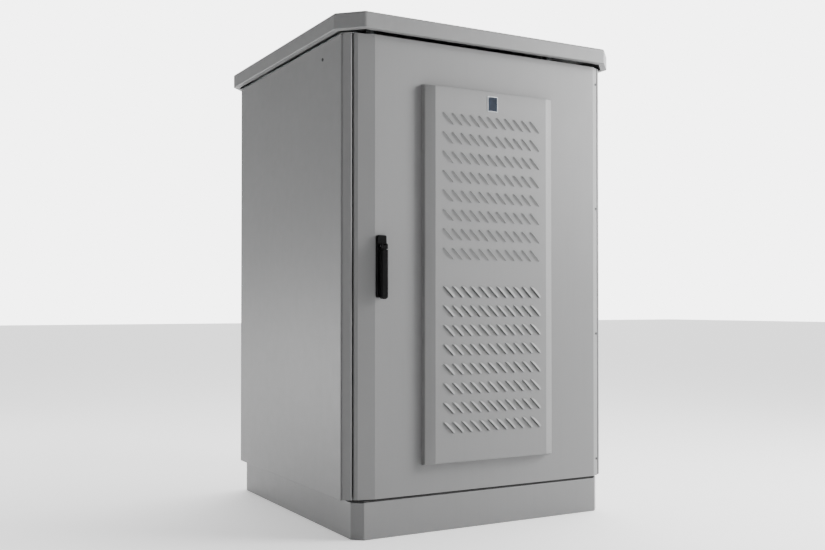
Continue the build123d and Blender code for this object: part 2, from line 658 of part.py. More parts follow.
def handle_lever():
    """The grip: a bar with rounded edges and a rounded free end, on a tongue around the cross pin."""
    grip = block((HANDLE_X - GRIP_HALF, HANDLE_X + GRIP_HALF), (GRIP_FACE, GRIP_BACK), (625, PIVOT_Z[0] - 2))
    grip = fillet(grip.edges().filter_by(Axis.Y).sort_by(Axis.Z)[:2], 8)
    grip = fillet(grip.faces().sort_by(Axis.Y)[0].edges(), 4)
    tongue_x = (HANDLE_X - TONGUE_HALF, HANDLE_X + TONGUE_HALF)
    tongue = rod_x(TONGUE_RADIUS, *tongue_x, LIFT_AXIS_Y, LIFT_AXIS_Z)
    tongue_y = (LIFT_AXIS_Y - TONGUE_RADIUS, LIFT_AXIS_Y + TONGUE_RADIUS)
    tongue += block(tongue_x, tongue_y, (PIVOT_Z[0] - 5, LIFT_AXIS_Z))
    grip += tongue
    return grip - rod_x(LIFT_PIN_RADIUS + RUNNING_CLEARANCE, *tongue_x, LIFT_AXIS_Y, LIFT_AXIS_Z)


def latch_case():
    """The bearing block behind the door skin that the spindle passes through."""
    z_range = (HANDLE_PIVOT_Z - 40, HANDLE_PIVOT_Z + 25)
    case = block((HANDLE_X - 14, HANDLE_X + 14), (DOOR_INSIDE, -402), z_range)
    case = fillet(case.edges().filter_by(Axis.Y), 4)
    bore = rod_y(SPINDLE_RADIUS + RUNNING_CLEARANCE, DOOR_INSIDE - 1, -401, HANDLE_X, HANDLE_PIVOT_Z)
    return case - bore


def latch_cam():
    """The crank disc on the spindle's inner end, with a pin for each lock rod."""
    cam = rod_y(CRANK_RADIUS + 4.5, -399.5, -396.5, HANDLE_X, HANDLE_PIVOT_Z)
    step = CRANK_RADIUS * math.sin(math.radians(45))
    for sign in (-1, 1):
        cam += rod_y(CRANK_PIN_RADIUS, -398, -389.5, HANDLE_X - sign * step, HANDLE_PIVOT_Z - sign * step)
    return cam


def rod_centre_x(sign):
    """The middle of a lock rod. The upper rod has sign -1 and the lower one +1."""
    return HANDLE_X - sign * ROD_OFFSET


def lock_rod(sign, tip_z):
    """A flat rod with a cross slot for its crank pin."""
    step = CRANK_RADIUS * math.sin(math.radians(45))
    pin_z = HANDLE_PIVOT_Z - sign * step
    centre_x = rod_centre_x(sign)
    z_range = sorted((pin_z + sign * 8, tip_z))
    rod = block((centre_x - ROD_WIDTH / 2, centre_x + ROD_WIDTH / 2), (ROD_FRONT, ROD_BACK), z_range)
    slot_near = sign * (step - CRANK_PIN_RADIUS - 0.6)
    slot_far = sign * (CRANK_RADIUS + CRANK_PIN_RADIUS + 0.6)
    slot_x = sorted((HANDLE_X - slot_near, HANDLE_X - slot_far))
    return rod - block(slot_x, (ROD_FRONT - 1, ROD_BACK + 1), (pin_z - 3.15, pin_z + 3.15))


KEEPER_REACH = 27.0


def lock_keepers():
    """Two hooks on the sill and the header that the rods draw behind."""
    keepers = []
    for sign, wall_z, direction in ((-1, HEADER_BOTTOM, -1), (1, SILL_TOP, 1)):
        x_range = (rod_centre_x(sign) - 11, rod_centre_x(sign) + 11)
        arm = block(x_range, (-400, -345), sorted((wall_z, wall_z + direction * 3)))
        arm += block(x_range, (-400, -397), sorted((wall_z, wall_z + direction * (3 + KEEPER_REACH))))
        keepers.append(arm)
    return keepers


def rod_guides():
    """Two slotted guides for each lock rod, fixed to the door's inner face."""
    guides = []
    for sign, heights in ((-1, (900.0, 1180.0)), (1, (240.0, 640.0))):
        centre_x = rod_centre_x(sign)
        bore_half = ROD_WIDTH / 2 + 0.4
        outer_half = bore_half + 1.6
        for z in heights:
            guide = block((centre_x - outer_half, centre_x + outer_half), (DOOR_INSIDE, -387), (z - 8, z + 8))
            guide -= block((centre_x - bore_half, centre_x + bore_half), (ROD_FRONT - 0.4, ROD_BACK + 0.4),
                           (z - 9, z + 9))
            guides.append(guide - door_chamfer_waste())
    return guides


# ---- Hinges ---------------------------------------------------------------------------------------------
KNUCKLE_RADIUS = 4.6
KNUCKLE_LENGTH = 24.0
SCREW_SHANK = 2.0
HINGE_PLATE_X = 391.0
STRIP_SCREW_X = 394.0


def strip_plane(x, z):
    """A place on the door's right chamfer with +Z out of its face."""
    y = DOOR_FACE + (x - 378) * 0.5
    return Plane(origin=(x, y, z), x_dir=(0, 0, 1), z_dir=(0.4472, -0.8944, 0))


def hinge_screw_shape(z, radius, length):
    """A cylinder square to the door's right chamfer, reaching inwards from its face."""
    return strip_plane(STRIP_SCREW_X, z) * Pos(0, 0, -length / 2 + 0.01) * Cylinder(radius, length)


def hinge_frame_leaves():
    """Fixed leaves: a foot on the post's seal face and an arm out to the lower knuckle."""
    leaves = []
    for z in HINGE_HEIGHTS:
        z_range = (z - KNUCKLE_LENGTH, z - 0.3)
        leaf = rod_z(KNUCKLE_RADIUS, *z_range, HINGE_X, HINGE_Y)
        arm = [(390.5, -407), (394.5, -403), (372.5, -379), (368, -379), (368, -382.5)]
        leaf += prism(arm, *z_range)
        leaf += block((368, 388), (SEAL_FACE - 3, SEAL_FACE), z_range)
        leaf -= rod_z(HINGE_PIN_RADIUS, z - 30, z + 30, HINGE_X, HINGE_Y)
        leaves.append(leaf)
    return leaves


def hinge_door_leaves():
    """Moving leaves: an upper knuckle webbed to a plate behind the door's right chamfer."""
    leaves = []
    plate = Pos(0, 4.5, -3.4) * Box(2 * KNUCKLE_LENGTH, 11, 2.6)
    web = Pos(KNUCKLE_LENGTH / 2 + 0.15, -2, -4.6) * Box(KNUCKLE_LENGTH - 0.3, 12, 5)
    for z in HINGE_HEIGHTS:
        leaf = rod_z(KNUCKLE_RADIUS, z + 0.3, z + KNUCKLE_LENGTH, HINGE_X, HINGE_Y)
        leaf += strip_plane(HINGE_PLATE_X, z) * plate
        leaf += strip_plane(HINGE_PLATE_X, z) * web
        leaf -= rod_z(HINGE_PIN_RADIUS + RUNNING_CLEARANCE, z - 30, z + 30, HINGE_X, HINGE_Y)
        leaves.append(leaf)
    return leaves


def hinge_pins():
    """One pin in each hinge, held in the fixed knuckle."""
    pins = []
    for z in HINGE_HEIGHTS:
        pins.append(rod_z(HINGE_PIN_RADIUS, z - KNUCKLE_LENGTH, z + KNUCKLE_LENGTH - 1, HINGE_X, HINGE_Y))
    return pins


def hinge_screws():
    """The four screw heads in a line down the door's right edge."""
    screws = []
    for z in HINGE_HEIGHTS:
        seat = strip_plane(STRIP_SCREW_X, z)
        head = seat * Pos(0, 0, 0.8) * Cylinder(3.6, 1.6)
        head -= seat * Pos(0, 0, 1.4) * Cylinder(1.4, 1.4)
        screws.append(head + hinge_screw_shape(z, SCREW_SHANK, 1.9))
    return screws


# ---- Batteries and their rack ---------------------------------------------------------------------------
def rack_rails():
    """Four punched upright channels between the floor and the ceiling."""
    rails = []
    hole = Box(9.5, 6, 9.5)
    for front in (True, False):
        y_range = (RAIL_FRONT, RAIL_FRONT + RAIL_DEPTH) if front else (RAIL_REAR - RAIL_DEPTH, RAIL_REAR)
        face_y = y_range[0] + 1 if front else y_range[1] - 1
        rail = block((RAIL_INNER_X, RAIL_OUTER_X), y_range, (TRAY_TOP, FRAME_TOP))
        inner_y = (y_range[0] + SHEET, y_range[1] - SHEET)
        rail -= block((RAIL_INNER_X + SHEET, RAIL_OUTER_X + 1), inner_y, (TRAY_TOP - 1, FRAME_TOP + 1))
        heights = [TRAY_TOP + 40 + index * RACK_UNIT for index in range(26)]
        punched = [Pos(RAIL_INNER_X + 16, face_y, z) * hole for z in heights]
        rail -= punched
        rails += [rail, mirrored(rail)]
    return rails


def battery_shelves():
    """Three trays between the rails, each with a lip all round."""
    shelves = []
    for z in SHELF_HEIGHTS:
        y_range = (RAIL_FRONT + 2, RAIL_REAR - 2)
        shelf = block((-RAIL_INNER_X, RAIL_INNER_X), y_range, (z - 12, z + 10))
        shelf -= block((-RAIL_INNER_X + 2, RAIL_INNER_X - 2), (y_range[0] + 2, y_range[1] - 2), (z, z + 20))
        hollow_y = (y_range[0] + 2, y_range[1] - 2)
        shelf -= block((-RAIL_INNER_X + 2, RAIL_INNER_X - 2), hollow_y, (z - 20, z - 2))
        shelves.append(shelf)
    return shelves


def battery_centres():
    first = -BATTERY_PITCH * (BATTERIES_PER_SHELF - 1) / 2
    return [first + index * BATTERY_PITCH for index in range(BATTERIES_PER_SHELF)]


TERMINAL_STEP = 34.0
TERMINAL_DROP = 26.0


def batteries(shelf_z):
    """A row of cases, each with a terminal step at its upper front edge and a lid joint below its top."""
    cases = []
    back = BATTERY_FRONT + BATTERY_DEPTH
    top = shelf_z + BATTERY_HEIGHT
    half = BATTERY_WIDTH / 2
    for x in battery_centres():
        case = block((x - half, x + half), (BATTERY_FRONT, back), (shelf_z, top))
        case = fillet(case.edges().filter_by(Axis.Z), 5)
        case = fillet(case.faces().sort_by(Axis.Z)[-1].edges(), 2)
        case -= block((x - half - 1, x + half + 1), (BATTERY_FRONT - 1, BATTERY_FRONT + TERMINAL_STEP),
                      (top - TERMINAL_DROP, top + 1))
        groove = block((x - half - 1, x + half + 1), (BATTERY_FRONT - 1, back + 1), (top - 40, top - 38))
        groove -= block((x - half + 1, x + half - 1), (BATTERY_FRONT + 1, back - 1), (top - 41, top - 37))
        case -= groove
        for rib_z in (60, 110, 160, 210):
            case -= block((x - 40, x + 40), (BATTERY_FRONT - 1, BATTERY_FRONT + 1.2),
                          (shelf_z + rib_z, shelf_z + rib_z + 6))
        cases.append(case)
    return cases


TERMINAL_SPREAD = 30.0
TERMINAL_Y = BATTERY_FRONT + 17.0


def battery_terminals():
    """Two terminal posts on each battery's step, each with its bolt head."""
    terminals = []
    for shelf_z in SHELF_HEIGHTS:
        step_z = shelf_z + BATTERY_HEIGHT - TERMINAL_DROP
        for x in battery_centres():
            for side in (-1, 1):
                post = rod_z(8, step_z, step_z + 8, x + side * TERMINAL_SPREAD, TERMINAL_Y)
                terminals.append(post)
    return terminals


def battery_links():
    """Bars that join each battery's positive post to the next one's negative post."""
    links = []
    for shelf_z in SHELF_HEIGHTS:
        low = shelf_z + BATTERY_HEIGHT - TERMINAL_DROP + 8
        centres = battery_centres()
        for left, right in zip(centres, centres[1:]):
            x_range = (left + TERMINAL_SPREAD - 9, right - TERMINAL_SPREAD + 9)
            bar = block(x_range, (TERMINAL_Y - 9, TERMINAL_Y + 9), (low, low + 3))
            bar = fillet(bar.edges().filter_by(Axis.Z), 8)
            for x in (left + TERMINAL_SPREAD, right - TERMINAL_SPREAD):
                bar += Pos(x, TERMINAL_Y, low + 3) * extrude(RegularPolygon(6, 6), amount=5)
            links.append(bar)
    return links


def retaining_bars():
    """A bar across each row of batteries, screwed to the front rails."""
    bars = []
    for z in SHELF_HEIGHTS:
        y_range = (RAIL_FRONT - 3, RAIL_FRONT)
        bar = block((-RAIL_OUTER_X + 2, RAIL_OUTER_X - 2), y_range, (z + 125, z + 155))
        bar = fillet(bar.edges().filter_by(Axis.Y), 5)
        flange_y = (RAIL_FRONT - 12, RAIL_FRONT - 1)
        bar += block((-RAIL_INNER_X + 4, RAIL_INNER_X - 4), flange_y, (z + 125, z + 127.5))
        for x in (-251.0, 251.0):
            head = rod_y(6, RAIL_FRONT - 6.5, RAIL_FRONT - 2.9, x, z + 140)
            bar += fillet(head.faces().sort_by(Axis.Y)[0].edges(), 1.5)
        bars.append(bar)
    return bars


# ---- Breakers -------------------------------------------------------------------------------------------
PANEL_Z = (1150.0, 1283.0)
RAIL_Z = (1199.0, 1235.0)


def breaker_panel():
    """A rack panel with a window for the breakers, and the mounting rail behind it."""
    panel = block((-241, 241), (RAIL_FRONT - SHEET, RAIL_FRONT), PANEL_Z)
    panel -= block((-47, 56), (RAIL_FRONT - 3, RAIL_FRONT + 1), (1195, 1239))
    for x in (-233.0, 233.0):
        for z in (1165.0, 1268.0):
            head = rod_y(5, RAIL_FRONT - SHEET - 3, RAIL_FRONT - SHEET, x, z)
            panel += fillet(head.faces().sort_by(Axis.Y)[0].edges(), 1.2)
    for x_range in ((-202, -199), (199, 202)):
        panel += block(x_range, (RAIL_FRONT - 0.5, -243), RAIL_Z)
    return panel + block((-202, 202), (-246, -243), RAIL_Z)


def breakers():
    """Three breakers on the mounting rail, their noses in the panel's window."""
    bodies = []
    for x_low, width in BREAKERS.values():
        x_range = (x_low, x_low + width)
        body = block(x_range, (-308, -246), (1170, 1264))
        body += block(x_range, (BREAKER_NOSE, -307), (1197, 1237))
        middle = x_low + width / 2
        body -= block((middle - 5, middle + 5), (BREAKER_NOSE - 1, BREAKER_NOSE + 8), (1205, 1229))
        bodies.append(body)
    return bodies


def toggle(name):
    """A breaker's switch lever, up for on."""
    x_low, width = BREAKERS[name]
    middle = x_low + width / 2
    barrel = rod_x(5.5, middle - 4.6, middle + 4.6, BREAKER_AXIS_Y, BREAKER_AXIS_Z)
    lever = Pos(middle, BREAKER_AXIS_Y, BREAKER_AXIS_Z) * Rot(-25, 0, 0) * Pos(0, -10, 0) * Box(9.2, 14, 5)
    if name == "main":
        tie = Pos(middle, BREAKER_AXIS_Y, BREAKER_AXIS_Z) * Rot(-25, 0, 0) * Pos(0, -14, 0) * Box(40, 6, 5)
        lever += tie
    return barrel + lever


# ---- Writing the nodes ----------------------------------------------------------------------------------
def main():
    os.makedirs("parts", exist_ok=True)
    save("plinth", plinth())
    save("plinth_gasket", plinth_gasket())
    save("base_tray", base_tray())
    save("gland_plate", gland_plate())
    save("cable_glands", cable_glands())
    save("plinth_bolts", plinth_bolts())

    front = front_post()
    save("post_front_left", front)
    save("post_front_right", mirrored(front))
    rear = rear_post()
    save("post_rear_left", rear)
    save("post_rear_right", mirrored(rear))
    save("front_sill", front_sill())
    save("front_header", front_header())
    save("top_plate", top_plate())
    save("roof_cap", roof_cap())
    save("roof_spacers", roof_spacers())
    save("roof_bolts", roof_bolts())

    side = side_panel()
    save("side_panel_left", side)
    save("side_panel_right", mirrored(side))
    save("rear_panel", rear_panel())
    save("panel_brackets", panel_brackets())
    save("panel_screws", panel_screws())
    save("insulation_boards", insulation_boards())

    save("door_skin", door_skin())
    save("door_stiffeners", door_stiffeners())
    save("door_gasket", door_gasket())
    save("vent_cover", vent_cover())
    save("badge", badge())
    save("fan_frames", fan_frames())
    save("fan_rotor_upper", fan_rotor(FAN_HEIGHTS[0]))
    save("fan_rotor_lower", fan_rotor(FAN_HEIGHTS[1]))
    save("fan_guards", fan_guards())
    save("filter_frame", filter_frame())
    save("filter_mat", filter_mat())

    save("handle_housing", handle_housing())
    save("handle_pivot", handle_pivot())
    save("handle_pin", handle_pin())
    save("handle_lever", handle_lever())
    save("latch_case", latch_case())
    save("latch_cam", latch_cam())
    keeper_tip = 3 + KEEPER_REACH + KEEPER_GAP
    save("lock_rod_upper", lock_rod(-1, HEADER_BOTTOM - keeper_tip))
    save("lock_rod_lower", lock_rod(1, SILL_TOP + keeper_tip))
    save("rod_guides", rod_guides())
    save("lock_keepers", lock_keepers())
    save("hinge_frame_leaves", hinge_frame_leaves())
    save("hinge_door_leaves", hinge_door_leaves())
    save("hinge_pins", hinge_pins())
    save("hinge_screws", hinge_screws())

    save("rack_rails", rack_rails())
    save("battery_shelves", battery_shelves())
    for name, shelf_z in zip(("lower", "middle", "upper"), SHELF_HEIGHTS):
        save(f"batteries_{name}", batteries(shelf_z))
    save("battery_terminals", battery_terminals())
    save("battery_links", battery_links())
    save("retaining_bars", retaining_bars())
    save("breaker_panel", breaker_panel())
    save("breakers", breakers())
    for name in BREAKERS:
        save(f"breaker_toggle_{name}", toggle(name))


main()
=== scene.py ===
import json
import math

import bpy
from mathutils import Matrix, Vector


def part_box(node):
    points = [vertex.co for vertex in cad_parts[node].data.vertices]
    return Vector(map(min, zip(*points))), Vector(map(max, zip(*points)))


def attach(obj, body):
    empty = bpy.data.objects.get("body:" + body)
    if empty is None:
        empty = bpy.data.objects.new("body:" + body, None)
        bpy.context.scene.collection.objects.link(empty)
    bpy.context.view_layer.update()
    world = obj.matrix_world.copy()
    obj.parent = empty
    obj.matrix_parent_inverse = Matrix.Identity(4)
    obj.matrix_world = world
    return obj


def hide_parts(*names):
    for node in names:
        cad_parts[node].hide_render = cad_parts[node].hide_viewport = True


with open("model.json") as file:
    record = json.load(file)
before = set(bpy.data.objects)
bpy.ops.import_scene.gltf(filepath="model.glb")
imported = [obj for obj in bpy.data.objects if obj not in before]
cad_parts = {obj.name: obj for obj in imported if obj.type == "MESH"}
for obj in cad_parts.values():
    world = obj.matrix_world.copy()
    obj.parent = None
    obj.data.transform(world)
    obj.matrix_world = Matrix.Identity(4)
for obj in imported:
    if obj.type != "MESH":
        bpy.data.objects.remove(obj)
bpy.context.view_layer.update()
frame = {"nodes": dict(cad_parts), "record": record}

MM = 0.001

# ---- Camera ---------------------------------------------------------------------------------------------
CAMERA_PLACE = (-1.5206, -2.7107, 0.6079)
CAMERA_YAW = math.radians(-29.27)
CAMERA_PITCH = math.radians(0.762)
LENS_MM = 42.96
LENS_SHIFT = 0.0213


def add_camera():
    data = bpy.data.cameras.new("camera")
    data.sensor_width = 36.0
    data.lens = LENS_MM
    data.shift_y = LENS_SHIFT
    data.clip_end = 100.0
    camera = bpy.data.objects.new("camera", data)
    camera.location = CAMERA_PLACE
    camera.rotation_euler = (math.pi / 2 + CAMERA_PITCH, 0.0, CAMERA_YAW)
    bpy.context.scene.collection.objects.link(camera)
    bpy.context.scene.camera = camera


# ---- Light and floor ------------------------------------------------------------------------------------
# The studio wall is bright around this heading, clockwise from +Y, and dark elsewhere.
WALL_YAW = math.radians(60.0)
WALL_STRENGTH = 5.5
WALL_STOPS = ((0.0, (0.022, 0.022, 0.023)), (0.68, (0.03, 0.03, 0.031)), (0.785, (1.0, 1.0, 1.0)))
FLOOR_GLOW = 0.6
FLOOR_HALF = 30.0
# Each light is a name, its place, the point it faces, its size and its power in watts.
LIGHTS = (
    ("key", (2.4, -2.0, 1.8), (0.2, -0.4, 0.8), (1.3, 1.5), 165.0),
    ("side", (-2.4, 2.3, 0.3), (-0.4, 0.3, 0.2), (1.4, 0.5), 34.0),
    ("top", (0.3, 0.9, 4.0), (0.0, 0.0, 1.0), (3.0, 3.0), 90.0),
)


def add_area_light(name, place, target, size, power):
    data = bpy.data.lights.new(name, "AREA")
    data.shape = "RECTANGLE"
    data.size, data.size_y = size
    data.energy = power
    light = bpy.data.objects.new(name, data)
    light.location = place
    light.rotation_euler = (Vector(target) - Vector(place)).to_track_quat("-Z", "Y").to_euler()
    bpy.context.scene.collection.objects.link(light)


def add_studio():
    world = bpy.data.worlds.new("studio")
    bpy.context.scene.world = world
    world.use_nodes = True
    nodes, links = world.node_tree.nodes, world.node_tree.links
    background = nodes["Background"]
    background.inputs["Strength"].default_value = WALL_STRENGTH
    towards = nodes.new("ShaderNodeVectorMath")
    towards.operation = "DOT_PRODUCT"
    towards.inputs[1].default_value = (math.sin(WALL_YAW), math.cos(WALL_YAW), 0.0)
    links.new(nodes.new("ShaderNodeTexCoord").outputs["Generated"], towards.inputs[0])
    span = nodes.new("ShaderNodeMapRange")
    span.inputs["From Min"].default_value = -1.0
    links.new(towards.outputs["Value"], span.inputs["Value"])
    links.new(ramp(nodes, links, span.outputs["Result"], WALL_STOPS), background.inputs["Color"])
    for light in LIGHTS:
        add_area_light(*light)


def add_floor():
    corners = [(x * FLOOR_HALF, y * FLOOR_HALF, 0) for x, y in ((-1, -1), (1, -1), (1, 1), (-1, 1))]
    mesh = bpy.data.meshes.new("floor")
    mesh.from_pydata(corners, [], [(0, 1, 2, 3)])
    floor = bpy.data.objects.new("floor", mesh)
    bpy.context.scene.collection.objects.link(floor)
    material, _, _, shader = new_material("floor_paper")
    shader.inputs["Base Color"].default_value = (0.86, 0.86, 0.86, 1.0)
    shader.inputs["Roughness"].default_value = 0.9
    shader.inputs["Specular IOR Level"].default_value = 0.1
    shader.inputs["Emission Color"].default_value = (1.0, 1.0, 1.0, 1.0)
    shader.inputs["Emission Strength"].default_value = FLOOR_GLOW
    mesh.materials.append(material)


# ---- Material building blocks ---------------------------------------------------------------------------
def new_material(name):
    material = bpy.data.materials.new(name)
    material.use_nodes = True
    nodes = material.node_tree.nodes
    return material, nodes, material.node_tree.links, nodes["Principled BSDF"]


def place_input(nodes):
    """Object coordinates, which are metres in the cabinet's own frame."""
    return nodes.new("ShaderNodeTexCoord").outputs["Object"]


def noise(nodes, links, scale, detail=3.0, roughness=0.55, stretch=None):
    texture = nodes.new("ShaderNodeTexNoise")
    texture.inputs["Scale"].default_value = scale
    texture.inputs["Detail"].default_value = detail
    texture.inputs["Roughness"].default_value = roughness
    place = place_input(nodes)
    if stretch:
        mapping = nodes.new("ShaderNodeMapping")
        mapping.inputs["Scale"].default_value = stretch
        links.new(place, mapping.inputs["Vector"])
        place = mapping.outputs["Vector"]
    links.new(place, texture.inputs["Vector"])
    return texture.outputs["Fac"]


def ramp(nodes, links, value, stops):
    """Maps a value through colour stops given as (position, colour)."""
    node = nodes.new("ShaderNodeValToRGB")
    elements = node.color_ramp.elements
    while len(elements) < len(stops):
        elements.new(0.5)
    for element, (position, colour) in zip(elements, stops):
        element.position = position
        element.color = (*colour, 1.0)
    links.new(value, node.inputs["Fac"])
    return node.outputs["Color"]


def grey(value):
    return (value, value, value)


def mix(nodes, links, factor, first, second, blend="MIX"):
    """Mixes two colours, each a socket or a plain colour, by a socket or a number."""
    node = nodes.new("ShaderNodeMix")
    node.data_type = "RGBA"
    node.blend_type = blend
    for socket, value in ((node.inputs[0], factor), (node.inputs[6], first), (node.inputs[7], second)):
        if hasattr(value, "links"):
            links.new(value, socket)
        elif isinstance(value, tuple):
            socket.default_value = (*value, 1.0)
        else:
            socket.default_value = value
    return node.outputs[2]


def add_bump(nodes, links, shader, height, strength, distance):
    node = nodes.new("ShaderNodeBump")
    node.inputs["Strength"].default_value = strength
    node.inputs["Distance"].default_value = distance
    links.new(height, node.inputs["Height"])
    links.new(node.outputs["Normal"], shader.inputs["Normal"])


def edge_mask(nodes, links, radius):
    """About 1 on convex and concave edges and 0 on flat faces."""
    bevel = nodes.new("ShaderNodeBevel")
    bevel.samples = 4
    bevel.inputs["Radius"].default_value = radius
    geometry = nodes.new("ShaderNodeNewGeometry")
    dot = nodes.new("ShaderNodeVectorMath")
    dot.operation = "DOT_PRODUCT"
    links.new(bevel.outputs["Normal"], dot.inputs[0])
    links.new(geometry.outputs["Normal"], dot.inputs[1])
    return mask(nodes, links, dot.outputs["Value"], 0.90, 0.995, 1.0, 0.0)


def math_node(nodes, links, operation, first, second):
    """A Math node on two values, each a socket or a number."""
    node = nodes.new("ShaderNodeMath")
    node.operation = operation
    for socket, value in zip(node.inputs, (first, second)):
        if hasattr(value, "links"):
            links.new(value, socket)
        else:
            socket.default_value = value
    return node.outputs["Value"]


def tinted(colour, factor):
    return tuple(c * factor for c in colour)


def shaded(nodes, links, value, colour, low, high):
    """A colour whose tone follows a value, each stop given as (position, factor)."""
    stops = [(position, tinted(colour, factor)) for position, factor in (low, high)]
    return ramp(nodes, links, value, stops)


def mask(nodes, links, value, start, end, first=0.0, last=1.0):
    """A grey that goes from one level to another while a value goes from start to end."""
    return ramp(nodes, links, value, [(start, grey(first)), (end, grey(last))])


def set_roughness(nodes, links, shader, value, low, high):
    links.new(mask(nodes, links, value, 0.3, 0.7, low, high), shader.inputs["Roughness"])


def cell_texture(nodes, links, scale):
    texture = nodes.new("ShaderNodeTexVoronoi")
    texture.inputs["Scale"].default_value = scale
    links.new(place_input(nodes), texture.inputs["Vector"])
    return texture


# ---- Materials ------------------------------------------------------------------------------------------
def powder_coat(name, colour, peel=1.0):
    """Fine-textured powder coat: slight tone drift, orange peel, faint rain streaks and rubbed edges."""
    material, nodes, links, shader = new_material(name)
    drift = noise(nodes, links, 2.2, 4.0)
    base = shaded(nodes, links, drift, colour, (0.25, 0.965), (0.75, 1.03))
    speckle = noise(nodes, links, 1400.0, 2.0, 0.7)
    base = mix(nodes, links, 0.05, base, mask(nodes, links, speckle, 0.35, 0.7, 0.35, 0.75))
    streaks = noise(nodes, links, 6.0, 5.0, 0.6, stretch=(9.0, 9.0, 0.5))
    base = mix(nodes, links, mask(nodes, links, streaks, 0.52, 0.8, 0.0, 0.14), base, tinted(colour, 0.86))
    edge_band = edge_mask(nodes, links, 1.6 * MM)
    scratch = noise(nodes, links, 160.0, 4.0, 0.7)
    scratched = mask(nodes, links, scratch, 0.4, 0.65, 0.05, 0.5)
    patchy = mix(nodes, links, 1.0, edge_band, scratched, "MULTIPLY")
    base = mix(nodes, links, patchy, base, tinted(colour, 1.25))
    links.new(base, shader.inputs["Base Color"])
    set_roughness(nodes, links, shader, noise(nodes, links, 30.0, 5.0), 0.44, 0.49)
    shader.inputs["Specular IOR Level"].default_value = 0.42
    add_bump(nodes, links, shader, noise(nodes, links, 620.0, 2.0, 0.5), 0.16 * peel, 0.35 * MM)
    return material


def moulded_plastic(name, colour, roughness=(0.38, 0.5), grain=900.0, strength=0.25, shine=0.4):
    """Injection-moulded plastic with a fine spark-eroded grain and a painted highlight along its edges."""
    material, nodes, links, shader = new_material(name)
    drift = noise(nodes, links, 14.0, 4.0)
    base = shaded(nodes, links, drift, colour, (0.3, 0.88), (0.7, 1.15))
    # Painted highlight: the base colour is lighter along every convex and concave edge.
    edge_band = edge_mask(nodes, links, 0.8 * MM)
    base = mix(nodes, links, edge_band, base, tuple(min(c * 1.9 + 0.004, 1.0) for c in colour))
    links.new(base, shader.inputs["Base Color"])
    shader.inputs["Specular IOR Level"].default_value = shine
    set_roughness(nodes, links, shader, noise(nodes, links, 60.0, 4.0), *roughness)
    add_bump(nodes, links, shader, noise(nodes, links, grain, 3.0, 0.6), strength, 0.15 * MM)
    return material


def brushed_metal(name, colour, roughness, stretch=(1.0, 1.0, 30.0)):
    """Metal with fine drawn lines and dull patches."""
    material, nodes, links, shader = new_material(name)
    lines = noise(nodes, links, 260.0, 4.0, 0.6, stretch=stretch)
    dull = noise(nodes, links, 18.0, 5.0)
    links.new(shaded(nodes, links, dull, colour, (0.3, 0.8), (0.7, 1.0)), shader.inputs["Base Color"])
    shader.inputs["Metallic"].default_value = 1.0
    set_roughness(nodes, links, shader, lines, *roughness)
    add_bump(nodes, links, shader, lines, 0.12, 0.08 * MM)
    return material


def galvanised(name):
    """Zinc-coated sheet with crystal spangle."""
    material, nodes, links, shader = new_material(name)
    tone = nodes.new("ShaderNodeSeparateColor")
    links.new(cell_texture(nodes, links, 110.0).outputs["Color"], tone.inputs["Color"])
    spangle = ramp(nodes, links, tone.outputs[0], [(0.0, (0.42, 0.44, 0.46)), (1.0, (0.68, 0.70, 0.71))])
    links.new(spangle, shader.inputs["Base Color"])
    links.new(mask(nodes, links, tone.outputs[1], 0.0, 1.0, 0.28, 0.5), shader.inputs["Roughness"])
    shader.inputs["Metallic"].default_value = 0.9
    add_bump(nodes, links, shader, tone.outputs[2], 0.05, 0.1 * MM)
    return material


def foam(name, colour, cell_scale, strength):
    """Closed-cell foam or rubber with open pores, darkened by painted shade."""
    material, nodes, links, shader = new_material(name)
    pores = cell_texture(nodes, links, cell_scale).outputs["Distance"]
    # Painted shade: the base colour is darker in the pores.
    shade = shaded(nodes, links, pores, colour, (0.1, 0.6), (0.6, 1.0))
    drift = noise(nodes, links, 8.0, 4.0)
    base = mix(nodes, links, mask(nodes, links, drift, 0.3, 0.8, 0.0, 0.5), shade, tinted(colour, 1.4))
    links.new(base, shader.inputs["Base Color"])
    set_roughness(nodes, links, shader, drift, 0.78, 0.92)
    add_bump(nodes, links, shader, pores, strength, 0.6 * MM)
    return material


def fleece(name, colour):
    """Matted filter fibres."""
    material, nodes, links, shader = new_material(name)
    fibres = noise(nodes, links, 420.0, 6.0, 0.75, stretch=(1.0, 1.0, 0.35))
    clumps = noise(nodes, links, 45.0, 4.0)
    base = shaded(nodes, links, fibres, colour, (0.3, 0.55), (0.65, 1.0))
    base = mix(nodes, links, mask(nodes, links, clumps, 0.45, 0.8, 0.0, 0.45), base, tinted(colour, 0.6))
    links.new(base, shader.inputs["Base Color"])
    shader.inputs["Roughness"].default_value = 0.95
    shader.inputs["Sheen Weight"].default_value = 0.25
    add_bump(nodes, links, shader, fibres, 0.7, 0.8 * MM)
    return material


BADGE_RIM = 2.4 * MM


